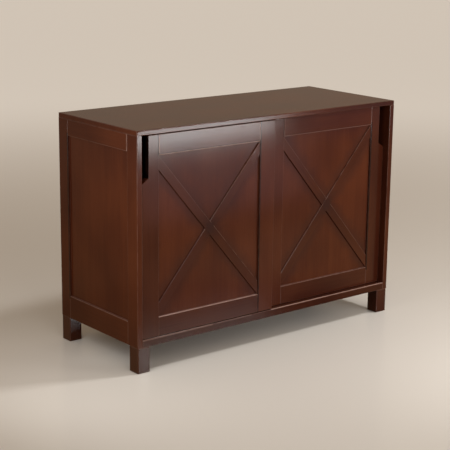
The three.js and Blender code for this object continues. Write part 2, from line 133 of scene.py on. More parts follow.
# Distances between which the floor changes, from the middle of that patch or of the floor.
DARK_FADE = (0.12, 0.5)
MIRRORED_FADE = (1.3, 4.5)
GLOW_FADE = (0.8, 5.0)
FLOOR_GLOW = 0.45  # share of the pale colour that the far floor adds to the camera's view

bl_info = {
    "name": "Sliding-door cabinet",
    "version": (1, 0, 0),
    "blender": (4, 5, 0),
    "location": "View3D > Sidebar > Cabinet",
    "description": "Finishes, fixings and studio for a cabinet with sliding doors",
    "category": "Object",
}


# ---------------------------------------------------------------- settings
def colour(name, description, default):
    return bpy.props.FloatVectorProperty(
        name=name, description=description, subtype="COLOR", default=default, min=0.0, max=1.0
    )


def length(name, description, default, least=0.0):
    return bpy.props.FloatProperty(
        name=name,
        description=description,
        default=default,
        min=least,
        subtype="DISTANCE",
        unit="LENGTH",
    )


def share(name, description, default):
    return bpy.props.FloatProperty(
        name=name, description=description, default=default, min=0.0, max=1.0, subtype="FACTOR"
    )


def power(name, description, default):
    return bpy.props.FloatProperty(name=name, description=description, default=default, min=0.0)


class CabinetFinish(bpy.types.PropertyGroup):
    """Colours and sheen of the stained wood and the nylon."""

    stain_dark: colour(
        "Dark stain", "Stain where the wood has drunk in the most", (0.054, 0.0112, 0.0046)
    )
    stain_light: colour(
        "Light stain", "Stain where the wood has taken the least", (0.089, 0.0212, 0.0074)
    )
    # The edge stain is thin stain on the eased edges and also a painted highlight along them; the
    # edge wear sets how much of it shows.
    edge_stain_and_highlight: colour("Edge stain", "Thin stain on the eased edges", (0.210, 0.115, 0.090))
    edge_width: length("Edge width", "How far the thin stain reaches in from an edge", 0.0026)
    edge_wear_and_highlight: share("Edge wear", "How much of the edge stain shows", 0.42)
    # Seam stain is dark stain in the joints and also painted shade on the edges of uprights beside
    # the recessed panels.
    seam_stain_and_shade: colour(
        "Seam stain", "Dark stain that has gathered in the joints", (0.016, 0.006, 0.004)
    )
    seam_width: length("Seam width", "How far the dark stain reaches from a joint", 0.0042)
    seams_and_shade: share("Seams", "How much of the seam stain shows", 0.95)
    # The lines along the rails are painted highlights at their ends and feet, with a painted shade
    # line above each foot.
    rail_lines: share("Beads", "How much shows of the bare lines along the rails", 0.9)
    # Pooled stain is stain gathered where the braces cross, and on the panels also painted shade
    # beside the braces.
    pooled_stain_and_shade: colour(
        "Pooled stain", "Stain that has gathered where the braces cross", (0.032, 0.0105, 0.0085)
    )
    pooling_and_shade: share("Pooling", "How much of the pooled stain shows", 0.7)
    crossing: share("Crossing", "How much of it shows right over the crossing", 0.9)
    clouding: share("Clouding", "How much of it shows above the crossing", 0.4)
    # This colour is painted shade over the lower half of the front door's inner brace.
    brace_foot_shade: colour("Fresh stain", "Stain where a brace is touched up", (0.060, 0.016, 0.010))
    brace_foot_shading: share("Freshness", "How much of the fresh stain shows", 0.75)
    # Ledge dust is the colour of pale dust on the ledges and of the painted highlights on ledges,
    # rail ends, rail feet and the bottom board's front edge.
    ledge_dust_and_highlight: colour("Ledge dust", "Pale dust and rubbing along the ledges", (0.34, 0.21, 0.17))
    dust_and_highlight: share("Dusting", "How much of the dust shows on the front ledges", 1.0)
    sheltered_dust_and_highlight: share("Sheltered dusting", "The same for the rear door and the sides", 0.28)
    # Painted shade inside the finger notches.
    notch_shade: colour("Notch stain", "Dark stain inside the notches", (0.006, 0.003, 0.002))
    roughness: share("Lacquer roughness", "Roughness of the satin lacquer", 0.15)
    top_roughness: share("Top roughness", "Roughness of the lacquer on the top board", 0.19)
    gloss: share("Lacquer gloss", "Strength of the reflection in the lacquer", 0.28)
    leg_gloss: share("Leg gloss", "Strength of the reflection in the lacquer of the legs", 0.6)
    inside_roughness: share("Inside roughness", "Roughness of the boards inside", 0.5)
    nylon: colour("Nylon", "Colour of glides, guides and foot glides", (0.012, 0.011, 0.010))
    steel: colour("Steel", "Colour of the screws", (0.30, 0.27, 0.22))


class CabinetFixings(bpy.types.PropertyGroup):
    """Screws of the back board and the shelf cleats."""

    head_radius: length("Head radius", "Radius of a screw head", 0.003, 0.001)
    head_height: length("Head height", "How far a screw head stands up", 0.0014, 0.0005)
    back_spacing: length("Back spacing", "Greatest distance between back screws", 0.16, 0.05)
    cleat_spacing: length("Cleat spacing", "Distance between the screws of a cleat", 0.12, 0.05)


class CabinetStage(bpy.types.PropertyGroup):
    """Floor, lamps and camera."""

    floor: colour("Floor", "Colour of the light that the floor gives back", (0.49, 0.34, 0.185))
    # A painted shadow on the floor before the doors, seen in reflections and bounce light but not
    # by the camera.
    darker: share("Darker", "How dark the patch of floor before the middle is", 0.95)
    pale: colour("Pale", "Colour of the floor and the background to the camera", (0.80, 0.76, 0.70))
    mirrored: share("Mirrored", "How pale the far floor is in the reflections of the lacquer", 0.8)
    floor_roughness: share("Floor roughness", "Roughness of the floor", 0.17)
    floor_gloss: share("Floor gloss", "Strength of the reflection in the floor", 0.19)
    room: colour("Room", "Colour of the light from all round", (1.0, 0.775, 0.565))
    room_strength: power("Room strength", "Strength of the light from all round", 0.3)
    fill_power: power("Fill power", "Power of the broad lamp at the front, in watts", 29.0)
    side_power: power("Side power", "Power of the small lamp beside the left side, in watts", 2.3)
    front_power: power("Front power", "Power of the small lamp at the front left, in watts", 3.6)
    key_power: power("Key power", "Power of the lamp high on the right, in watts", 34.0)
    window_power: power("Window power", "Power of the low lamp before the doors, in watts", 7.7)
    sill_power: power("Sill power", "Power of the faint lamp below that one, in watts", 0.4)
    sill_tint: colour("Sill tint", "Colour of the faint lamp below", (1.0, 0.68, 0.92))
    shade_power: power("Shade power", "Power of the faint lamp to the right, in watts", 0.085)
    shade_tint: colour("Shade tint", "Colour of the faint lamp to the right", (0.15, 0.38, 1.0))
    lens: bpy.props.FloatProperty(
        name="Lens",
        description="Focal length of the camera",
        default=103.753,
        min=10.0,
        unit="CAMERA",
    )


def settings(name):
    return getattr(bpy.context.scene, "cabinet_" + name)


# ---------------------------------------------------------------- shader nodes
def wire(tree, node, inputs):
    """Links each input that is given a socket and sets the others."""
    for key, value in inputs.items():
        if isinstance(value, bpy.types.NodeSocket):
            tree.links.new(value, node.inputs[key])
        else:
            node.inputs[key].default_value = value
    return node


def put(tree, kind, inputs=None, **options):
    """Adds a shader node with its options and inputs."""
    node = tree.nodes.new("ShaderNode" + kind)
    for name, value in options.items():
        setattr(node, name, value)
    return wire(tree, node, inputs or {})


def maths(tree, operation, *values):
    return put(tree, "Math", dict(enumerate(values)), operation=operation).outputs[0]


def vectors(tree, operation, *values):
    return put(tree, "VectorMath", dict(enumerate(values)), operation=operation).outputs[0]


def measure(tree, operation, *values):
    """A single number from vectors, such as a distance."""
    return put(tree, "VectorMath", dict(enumerate(values)), operation=operation).outputs["Value"]


def ease(tree, value, low, high, to_low=0.0, to_high=1.0):
    """Maps a value from one range to another, easing in and out."""
    inputs = {"Value": value, 1: low, 2: high, 3: to_low, 4: to_high}
    return put(tree, "MapRange", inputs, interpolation_type="SMOOTHSTEP").outputs[0]


def blend(tree, factor, a, b):
    """Mixes two colours."""
    return put(tree, "Mix", {0: factor, 6: a, 7: b}, data_type="RGBA").outputs[2]


def noise(tree, vector, scale, detail=2.0, roughness=0.5, distortion=0.0):
    inputs = {
        "Vector": vector,
        "Scale": scale,
        "Detail": detail,
        "Roughness": roughness,
        "Distortion": distortion,
    }
    return put(tree, "TexNoise", inputs).outputs["Fac"]


def new_group(name, inputs, outputs):
    """An empty node group with named sockets, as its tree, its inputs and its outlet."""
    tree = bpy.data.node_groups.new(name, "ShaderNodeTree")
    for in_out, sockets in (("INPUT", inputs), ("OUTPUT", outputs)):
        for label, kind in sockets.items():
            socket_type = "NodeSocket" + kind
            tree.interface.new_socket(label, in_out=in_out, socket_type=socket_type)
    inlet = tree.nodes.new("NodeGroupInput")
    return tree, inlet.outputs, tree.nodes.new("NodeGroupOutput")


def use_group(tree, name, inputs):
    """Places a node group and gives its outputs."""
    node = tree.nodes.new("ShaderNodeGroup")
    node.node_tree = bpy.data.node_groups[name]
    return wire(tree, node, inputs).outputs


def rgba(values):
    return (*values, 1.0)


def new_material(name):
    """A material without nodes, and its node tree."""
    material = bpy.data.materials.new(name)
    material.use_nodes = True
    material.node_tree.nodes.clear()
    return material, material.node_tree


def finish_material(tree, inputs):
    """Adds the surface shader and wires it to the material's outlet."""
    shader = put(tree, "BsdfPrincipled", inputs)
    put(tree, "OutputMaterial", {"Surface": shader.outputs[0]})


# ---------------------------------------------------------------- shared effects
def build_edge_group():
    """How near a point on a board's surface is to one of the board's edges."""
    tree, inputs, outlet = new_group(
        "board_edge",
        {"Vector": "Vector", "Half": "Vector", "Width": "Float"},
        {"Edge": "Float"},
    )
    depth = vectors(tree, "SUBTRACT", inputs["Half"], vectors(tree, "ABSOLUTE", inputs["Vector"]))
    a, b, c = put(tree, "SeparateXYZ", {0: depth}).outputs
    low = maths(tree, "MINIMUM", a, b)
    high = maths(tree, "MAXIMUM", a, b)
    second = maths(tree, "MAXIMUM", low, maths(tree, "MINIMUM", high, c))
    edge = ease(tree, second, 0.0, inputs["Width"], 1.0, 0.0)
    wire(tree, outlet, {"Edge": edge})


def build_patch_group():
    """Colour laid over a box-shaped region of a surface, uneven and with a soft border."""
    tree, inputs, outlet = new_group(
        "patch",
        {
            "Vector": "Vector",
            "Under": "Color",
            "Colour": "Color",
            "Strength": "Float",
            "Centre": "Vector",
            "Half": "Vector",
            "Soft": "Float",
        },
        {"Colour": "Color"},
    )
    away = vectors(tree, "ABSOLUTE", vectors(tree, "SUBTRACT", inputs["Vector"], inputs["Centre"]))
    a, b, c = put(tree, "SeparateXYZ", {0: vectors(tree, "SUBTRACT", inputs["Half"], away)}).outputs
    least = maths(tree, "MINIMUM", maths(tree, "MINIMUM", a, b), c)
    mottle = noise(tree, inputs["Vector"], MOTTLE_SCALES["patch"])
    uneven = ease(tree, mottle, 0.3, 0.6, 0.75, 1.0)
    cover = maths(tree, "MULTIPLY", inputs["Strength"], uneven)
    cover = maths(tree, "MULTIPLY", cover, ease(tree, least, 0.0, inputs["Soft"]))
    wire(tree, outlet, {"Colour": blend(tree, cover, inputs["Under"], inputs["Colour"])})


def build_pool_group():
    """Cloudy stain that has gathered round a crossing, and painted shade on the panel beside the
    two braces through it.
    """
    tree, inputs, outlet = new_group(
        "stain_pool",
        {
            "Vector": "Vector",
            "Centre": "Vector",
            "Reach": "Float",
            "Across": "Vector",
            "Breadth": "Float",
            "Along": "Float",
        },
        {"Mask": "Float"},
    )
    apart = measure(tree, "DISTANCE", inputs["Vector"], inputs["Centre"])
    mottle = noise(tree, inputs["Vector"], MOTTLE_SCALES["pool"])
    spread = maths(tree, "MULTIPLY", inputs["Reach"], ease(tree, mottle, 0.3, 0.7, 0.7, 1.3))
    near = ease(tree, maths(tree, "DIVIDE", apart, spread), 0.1, 1.0, 1.0, 0.0)
    offset = vectors(tree, "SUBTRACT", inputs["Vector"], inputs["Centre"])
    folded = vectors(tree, "ABSOLUTE", offset)
    aside = measure(tree, "DOT_PRODUCT", folded, inputs["Across"])
    gap = maths(tree, "SUBTRACT", maths(tree, "ABSOLUTE", aside), inputs["Breadth"])
    fade = maths(tree, "DIVIDE", gap, spread)
    beside = maths(tree, "MULTIPLY", ease(tree, fade, 0.0, 0.5, 1.0, 0.0), inputs["Along"])
    wire(tree, outlet, {"Mask": maths(tree, "MAXIMUM", near, beside)})


def build_grain_group():
    """Figure of the stained wood, with the grain running along the vector's Z."""
    tree, inputs, outlet = new_group(
        "wood_grain",
        {"Vector": "Vector"},
        {"Tone": "Float", "Pores": "Float", "Height": "Float"},
    )

    def pattern(name, **options):
        """Noise drawn out along the grain."""
        squeeze = (1.0, 1.0, GRAIN_SQUEEZE[name])
        drawn_out = vectors(tree, "MULTIPLY", inputs["Vector"], squeeze)
        return noise(tree, drawn_out, GRAIN_SCALES[name], **options)

    clouds = pattern("clouds", detail=1.5, roughness=0.45)
    figure = pattern("figure", distortion=0.6)
    fibres = pattern("fibres", roughness=0.6)
    flecks = pattern("flecks", detail=1.0)
    tone = maths(tree, "MULTIPLY", clouds, GRAIN_SHARES["clouds"])
    tone = maths(tree, "MULTIPLY_ADD", figure, GRAIN_SHARES["figure"], tone)
    tone = maths(tree, "MULTIPLY_ADD", fibres, GRAIN_SHARES["fibres"], tone)
    pores = ease(tree, flecks, 0.60, 0.74)
    height = maths(tree, "MULTIPLY", fibres, FIBRE_HEIGHT)
    height = maths(tree, "MULTIPLY_ADD", pores, PORE_HEIGHT, height)
    wire(tree, outlet, {"Tone": ease(tree, tone, 0.3, 0.7), "Pores": pores, "Height": height})


def build_stain_group():
    """Stain over the grain: cloudy, darker in the pores, and with a pale line along the edges that
    is partly thin stain and partly painted highlight.
    """
    tree, inputs, outlet = new_group(
        "wood_stain",
        {
            "Vector": "Vector",
            "Tone": "Float",
            "Pores": "Float",
            "Edge": "Float",
            "Dark": "Color",
            "Light": "Color",
            "Thin": "Color",
            "Pool": "Float",
            "Pooled": "Color",
            "Roughness": "Float",
        },
        {"Colour": "Color", "Roughness": "Float"},
    )
    body = blend(tree, inputs["Tone"], inputs["Dark"], inputs["Light"])
    pores = maths(tree, "MULTIPLY", inputs["Pores"], PORE_SHADE)
    pored = blend(tree, pores, body, inputs["Dark"])
    pooled_and_shaded = blend(tree, inputs["Pool"], pored, inputs["Pooled"])
    mottle = noise(tree, inputs["Vector"], MOTTLE_SCALES["wear"])
    # Pale line along the edges: partly thin, worn stain and partly painted highlight.
    worn_and_lit_edge = maths(tree, "MULTIPLY", inputs["Edge"], ease(tree, mottle, 0.25, 0.6, 0.25, 1.0))
    with_worn_and_lit_edges = blend(tree, worn_and_lit_edge, pooled_and_shaded, inputs["Thin"])
    swing = maths(tree, "SUBTRACT", inputs["Tone"], 0.5)
    roughness = maths(tree, "MULTIPLY_ADD", swing, LACQUER_SWING, inputs["Roughness"])
    wire(tree, outlet, {"Colour": with_worn_and_lit_edges, "Roughness": roughness})


# ---------------------------------------------------------------- wood
# Turns that bring the grain onto local Z.
GRAIN_TURNS = {
    "upright": Euler((0.0, 0.0, 0.0)),
    "across": Euler((0.0, -math.pi / 2, 0.0)),
    "deep": Euler((math.pi / 2, 0.0, 0.0)),
}


def wood_material(
    name,
    turn,
    centre,
    half,
    stain=WHITE,
    wear=1.0,
    lacquer=None,
    gloss=None,
    pool=None,
    patches=(),
):
    """Stained and lacquered wood for one board.

    The half sizes are those after the turn. Stain is a share of the stain's colour, and wear a
    multiple of the usual pale edge line, partly wear and partly painted highlight. Lacquer and
    gloss are a roughness and a strength of reflection other than the usual ones. Pool holds the
    settings of a pool of stain and, on a panel, of painted shade beside the braces. Each patch is a
    centre, half sizes, a border, a colour and a strength.
    """
    finish = settings("finish")
    material, tree = new_material(name)
    spot = put(tree, "TexCoord").outputs["Object"]
    origin = -(turn.to_matrix() @ centre)
    inputs = {"Vector": spot, "Location": origin, "Rotation": turn}
    place = put(tree, "Mapping", inputs).outputs[0]
    inputs = {"Vector": place, "Half": half, "Width": finish.edge_width}
    edge = use_group(tree, "board_edge", inputs)["Edge"]
    figure = vectors(tree, "ADD", place, centre * GRAIN_SHIFT)
    grain = use_group(tree, "wood_grain", {"Vector": figure})
    masks = {}
    if pool:
        pooled_and_shaded = use_group(tree, "stain_pool", pool | {"Vector": spot})["Mask"]
        masks["Pool"] = maths(tree, "MULTIPLY", pooled_and_shaded, finish.pooling_and_shade)
    stained = use_group(
        tree,
        "wood_stain",
        masks
        | {
            "Vector": figure,
            "Tone": grain["Tone"],
            "Pores": grain["Pores"],
            "Edge": maths(tree, "MULTIPLY", edge, finish.edge_wear_and_highlight * wear),
            "Dark": rgba(Vector(finish.stain_dark) * Vector(stain)),
            "Light": rgba(Vector(finish.stain_light) * Vector(stain)),
            "Thin": rgba(finish.edge_stain_and_highlight),
            "Pooled": rgba(finish.pooled_stain_and_shade),
            "Roughness": finish.roughness if lacquer is None else lacquer,
        },
    )
    surface = stained["Colour"]
    for middle, reach, border, shade, strength in patches:
        inputs = {
            "Vector": spot,
            "Under": surface,
            "Colour": rgba(shade),
            "Strength": strength,
            "Centre": middle,
            "Half": reach,
            "Soft": border,
        }
        surface = use_group(tree, "patch", inputs)["Colour"]
    bump = put(tree, "Bump", {"Strength": 0.12, "Distance": 0.0004, "Height": grain["Height"]})
    finish_material(
        tree,
        {
            "Base Color": surface,
            "Roughness": stained["Roughness"],
            "Specular IOR Level": finish.gloss if gloss is None else gloss,
            "Normal": bump.outputs[0],
        },
    )
    return material


def dress(node, material):
    """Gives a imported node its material."""
    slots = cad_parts[node].data.materials
    slots.clear()
    slots.append(material)


def stain_board(node, grain="upright", hidden=(0.0, 0.0, 0.0), **options):
    """Stains a straight board. Hidden is how much of each end goes into a joint."""
    low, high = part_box(node)
    turn = GRAIN_TURNS[grain]
    half = turn.to_matrix() @ ((high - low) / 2 - Vector(hidden))
    half = Vector([abs(value) for value in half])
    dress(node, wood_material("wood_" + node, turn, (low + high) / 2, half, **options))


def dusty_lit_ledge(node, dust_and_highlight, front=False):
    """The patch of pale dust and painted highlight on a board's upper face, or only at its front
    before the rear door.
    """
    low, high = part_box(node)
    if front:
        low.x = 0.0
        high.y = low.y + LEDGE_DEPTH
    middle = (low + high) / 2
    middle.z = high.z
    half = (high - low) / 2 + Vector((PAST, PAST, 0.0))
    half.z = LEDGE_REACH
    return middle, half, BORDER, settings("finish").ledge_dust_and_highlight, dust_and_highlight


def front_edge(node, left, right, drop, shade, strength):
    """The patch of colour on a board's front edge between two places, from its top down."""
    low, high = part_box(node)
    middle = Vector(((left + right) / 2, low.y, high.z + (PAST - drop) / 2))
    half = Vector(((right - left) / 2, FRONT_REACH, (PAST + drop) / 2))
    return middle, half, BORDER, shade, strength


def shaded_notch(node, hand):
    """The patch of painted shade on the cut faces of a finger notch."""
    low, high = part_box(node)
    outer = high.x if hand > 0 else low.x
    middle = Vector((outer, (low.y + high.y) / 2, high.z))
    half = Vector((NOTCH_WIDTH + BORDER, high.y - low.y, NOTCH_DROP + PAST))
    return middle, half, BORDER, settings("finish").notch_shade, 1.0


def line(node, way, shade, strength, width, start=0.0):
    """The patch of colour along one edge of a board. Way is an axis and the end of it."""
    low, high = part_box(node)
    middle = (low + high) / 2
    half = high - low
    axis, end = way
    edge = high[axis] if end > 0 else low[axis]
    middle[axis] = edge - end * (start + width / 2)
    half[axis] = (width + BORDER) / 2
    return middle, half, BORDER, shade, strength


def dark_seam_and_shade(node, way, rail=None, depth=1.0):
    """Dark stain in the joints along the edge of an upright, and painted shade where it runs beside
    a recessed panel; only as high as the part that is named, if one is.
    """
    finish = settings("finish")
    seam = line(node, way, finish.seam_stain_and_shade, finish.seams_and_shade * depth, finish.seam_width)
    if rail:
        low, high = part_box(rail)
        middle, half = seam[:2]
        middle.z = (low.z + high.z) / 2
        half.z = (high.z - low.z) / 2 + PAST
    return seam


def rail_end_highlight(node, way, strength, width=END_WIDTH):
    """A painted highlight at an end of a rail, where it meets an upright."""
    return line(node, way, settings("finish").ledge_dust_and_highlight, strength, width, TENON)


def rail_foot_light_and_shade(node, strength):
    """A painted highlight along the lower edge of a rail, and a painted shade line above it."""
    finish = settings("finish")
    foot = (2, -1)
    return [
        line(node, foot, finish.ledge_dust_and_highlight, strength, FOOT_LINE_WIDTH),
        line(node, foot, finish.seam_stain_and_shade, strength, FOOT_LINE_WIDTH, FOOT_LINE_WIDTH),
    ]


def brace_slope(node):
    """The half breadth of a brace and the direction across it, for one climbing towards +X."""
    low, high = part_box(node)
    size = high - low
    angle = math.atan2(size.x, size.z - BRACE_LANDING)
    return BRACE_LANDING * math.sin(angle) / 2, angle


def gathered_stain_and_shade(door, along):
    """The settings of the pool of stain where the braces of a door cross, and of the painted shade
    beside them as strong as along.
    """
    low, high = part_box(door + "panel")
    breadth, angle = brace_slope(door + "outer_brace")
    return {
        "Centre": (low + high) / 2,
        "Reach": POOL_REACH,
        "Across": (math.cos(angle), 0.0, -math.sin(angle)),
        "Breadth": breadth,
        "Along": along,
    }


def cloud(door):
    """The patch of darker stain above the crossing of a door's braces."""
    finish = settings("finish")
    low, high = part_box(door + "panel")
    middle = (low + high) / 2 + CLOUD_RISE
    return middle, CLOUD_REACH, CLOUD_BORDER, finish.pooled_stain_and_shade, finish.clouding


def crossing_stain(centre, breadth, angle):
    """The patch of stain over the crossing of two braces, where neither edge stands clear."""
    finish = settings("finish")
    half = Vector((breadth / math.cos(angle), THROUGH, breadth / math.sin(angle))) * CROSSING
    return centre, half, CROSSING_BORDER, finish.pooled_stain_and_shade, finish.crossing


def brace_foot_shade(node):
    """The patch of painted shade over the lower half of a brace, which hides the pale edge line
    there.
    """
    finish = settings("finish")
    low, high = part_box(node)
    half = (high - low) / 4 + Vector((BRACE_SHADE_PAST, THROUGH, BRACE_SHADE_PAST))
    middle = (low * 3 + high) / 4 - Vector((BRACE_SHADE_PAST, 0.0, BRACE_SHADE_PAST))
    return middle, half, BRACE_SHADE_BORDER, finish.brace_foot_shade, finish.brace_foot_shading


def stain_brace(node, rise, pool, patches):
    """Stains a brace, turned with it. Rise is 1 if it climbs towards +X, or else -1.

    Its lower edge, which is in shade, gets no pale edge line, so the board is taken to reach
    further that way.
    """
    low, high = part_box(node)
    breadth, angle = brace_slope(node)
    further = settings("finish").edge_width
    half = Vector((breadth + further, (high.y - low.y) / 2, high.z - low.z))
    turn = Euler((0.0, -angle * rise, 0.0))
    down = Vector((math.cos(angle) * rise, 0.0, -math.sin(angle)))
    middle = (low + high) / 2 + down * further
    patches = [crossing_stain(pool["Centre"], breadth, angle), *patches]
    options = {"stain": FRAME_TINT, "wear": BRACE_EDGE_LINE, "pool": pool, "patches": patches}
    dress(node, wood_material("wood_" + node, turn, middle, half, **options))


# ---------------------------------------------------------------- nylon and steel
def plain_material(name, base, roughness, metallic, speckle):
    """Nylon or steel with slight mottling and a faintly uneven surface."""
    material, tree = new_material(name)
    place = put(tree, "TexCoord").outputs["Object"]
    mottle = noise(tree, place, speckle, detail=3.0)
    darker = rgba(Vector(base) * 0.7)
    lighter = rgba(Vector(base) * 1.25)
    low, high = roughness - PLAIN_SWING, roughness + PLAIN_SWING
    bump = put(tree, "Bump", {"Strength": 0.1, "Distance": 0.0002, "Height": mottle})
    finish_material(
        tree,
        {
            "Base Color": blend(tree, mottle, darker, lighter),
            "Roughness": ease(tree, mottle, 0.2, 0.8, low, high),
            "Metallic": metallic,
            "Normal": bump.outputs[0],
        },
    )


# ---------------------------------------------------------------- modelling
def select_only(*pieces):
    bpy.ops.object.select_all(action="DESELECT")
    for piece in pieces:
        piece.select_set(True)
    bpy.context.view_layer.objects.active = pieces[0]


def select_faces(piece, wanted):
    """In edit mode, selects the faces whose middle and normal are wanted."""
    bpy.ops.mesh.select_all(action="DESELECT")
    bpy.ops.object.mode_set(mode="OBJECT")
    for face in piece.data.polygons:
        face.select = wanted(face.center, face.normal)
    bpy.ops.object.mode_set(mode="EDIT")


def screw_head(name, radius, height):
    """A domed screw head on Z = 0 with a cross recess."""
    bpy.ops.object.select_all(action="DESELECT")
    bpy.ops.mesh.primitive_cylinder_add(
        vertices=24, radius=radius, depth=height, location=(0.0, 0.0, height / 2)
    )
    head = bpy.context.object
    head.name = name
    bpy.ops.object.transform_apply(location=True, rotation=True, scale=True)
    bpy.ops.object.mode_set(mode="EDIT")
    bpy.ops.mesh.select_mode(type="FACE")
    select_faces(head, lambda middle, normal: normal.z > 0.9)
    bpy.ops.mesh.bevel(offset=height * DOME, segments=4, affect="EDGES")
    bpy.ops.object.mode_set(mode="OBJECT")
    for turn in (0.0, math.pi / 2):
        bpy.ops.object.select_all(action="DESELECT")
        bpy.ops.mesh.primitive_cube_add(
            size=1.0,
            location=(0.0, 0.0, height),
            rotation=(0.0, 0.0, turn),
            scale=(radius * RECESS_LENGTH, radius * RECESS_WIDTH, height * RECESS_HEIGHT),
        )
        cutter = bpy.context.object
        select_only(head)
        cut = head.modifiers.new("recess", "BOOLEAN")
        cut.operation = "DIFFERENCE"
        cut.solver = "EXACT"
        cut.object = cutter
        bpy.ops.object.modifier_apply(modifier=cut.name)
        bpy.data.objects.remove(cutter)
    select_only(head)
    bpy.ops.object.shade_smooth_by_angle(angle=math.radians(35))
    return head


def set_screws(name, places, facing):
    """Copies one screw head to each place, turned to its facing, and joins the copies."""
    fixings = settings("fixings")
    pattern = screw_head(name, fixings.head_radius, fixings.head_height)
    copies = []
    for number, place in enumerate(places):
        copy = pattern.copy()
        copy.data = pattern.data.copy()
        bpy.context.collection.objects.link(copy)
        copy.location = place
        spin = Matrix.Rotation(number * SPIN_STEP, 3, "Z")
        turn = Vector(facing[number]).to_track_quat("Z", "Y").to_matrix() @ spin
        copy.rotation_euler = turn.to_euler()
        copies.append(copy)
    bpy.data.objects.remove(pattern)
    select_only(*copies)
    bpy.ops.object.join()
    screws = bpy.context.object
    screws.name = name
    bpy.ops.object.transform_apply(location=True, rotation=True, scale=True)
    screws.data.materials.clear()
    screws.data.materials.append(bpy.data.materials["steel"])
    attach(screws, "cabinet")


# ---------------------------------------------------------------- operators
class CABINET_OT_shared(bpy.types.Operator):
    """Build the shader groups and the plain materials that the pieces share"""

    bl_idname = "cabinet.shared"
    bl_label = "Shared effects"

    def execute(self, context):
        finish = settings("finish")
        build_edge_group()
        build_patch_group()
        build_pool_group()
        build_grain_group()
        build_stain_group()
        plain_material("nylon", finish.nylon, roughness=0.42, metallic=0.0, speckle=900.0)
        plain_material("steel", finish.steel, roughness=0.34, metallic=1.0, speckle=500.0)
        return {"FINISHED"}


class CABINET_OT_boards(bpy.types.Operator):
    """Stain the top, bottom and back boards and the fittings between them"""

    bl_idname = "cabinet.boards"
    bl_label = "Boards and shelves"

    def execute(self, context):
        finish = settings("finish")
        dull = finish.inside_roughness
        low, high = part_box("top_panel")
        right, drop = high.x + PAST, high.z - low.z + PAST
        # Darker towards the right end of the top board's front edge.
        patches = [
            front_edge("top_panel", left, right, drop, finish.pooled_stain_and_shade, DARK_LAYER)
            for left in DARK_LENGTHS
        ]
        stain_board("top_panel", "across", lacquer=finish.top_roughness, patches=patches)
        low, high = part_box("bottom_panel")
        # Pale dust and painted highlight on the ledge before the rear door.
        patches = [dusty_lit_ledge("bottom_panel", finish.dust_and_highlight, front=True)]
        # Painted highlight along the top of the front edge, fading towards the right.
        patches += [
            front_edge("bottom_panel", low.x, right, HIGHLIGHT_DROP, finish.ledge_dust_and_highlight, strength)
            for right, strength in HIGHLIGHT_LENGTHS
        ]
        stain_board("bottom_panel", "across", stain=BASE_TINT, patches=patches)
        stain_board("back_panel", "across", stain=BACK_TINT, lacquer=dull)
        stain_board("centre_divider", lacquer=dull)
        for side in SIDES:
            stain_board(side + "_shelf", "across", lacquer=dull)
            for end in ("outer", "inner"):
                stain_board(f"{side}_{end}_shelf_cleat", "deep", lacquer=dull)
        return {"FINISHED"}


class CABINET_OT_sides(bpy.types.Operator):
    """Stain the frame-and-panel sides"""

    bl_idname = "cabinet.sides"
    bl_label = "Side frames"

    def execute(self, context):
        dust_and_highlight = settings("finish").sheltered_dust_and_highlight
        for side in SIDES:
            tint = WHITE if side == FRONT_DOOR else FRAME_TINT
            stain_board(side + "_side_front_stile", stain=tint)
            stile = side + "_side_back_stile"
            # Painted shade on the back stile's edge beside the recessed side panel.
            stain_board(stile, patches=[dark_seam_and_shade(stile, (1, -1), side + "_side_panel")])
            hidden = (0.0, TENON, 0.0)
            rail = side + "_side_top_rail"
            # Painted highlight at the front end of the side's top rail.
            end = rail_end_highlight(rail, (1, -1), SIDE_END_HIGHLIGHT, SIDE_END_WIDTH)
            # Painted highlight along the foot of the side's top rail, with a painted shade line
            # above it.
            patches = [end, *rail_foot_light_and_shade(rail, SIDE_FOOT_LINES)]
            stain_board(rail, "deep", hidden=hidden, patches=patches)
            rail = side + "_side_bottom_rail"
            # Pale dust and painted highlight on the side's bottom rail.
            stain_board(rail, "deep", hidden=hidden, patches=[dusty_lit_ledge(rail, dust_and_highlight)])
            stain_board(side + "_side_panel", hidden=(0.0, TENON, TENON), stain=PANEL_TINT)
        return {"FINISHED"}


class CABINET_OT_legs(bpy.types.Operator):
    """Stain the legs and colour their foot glides"""

    bl_idname = "cabinet.legs"
    bl_label = "Legs"

    def execute(self, context):
        gloss = settings("finish").leg_gloss
        for side in SIDES:
            for end in ("front", "back"):
                stain_board(f"{side}_{end}_leg", stain=LEG_TINT, gloss=gloss)
                dress(f"{side}_{end}_foot_glide", bpy.data.materials["nylon"])
        return {"FINISHED"}


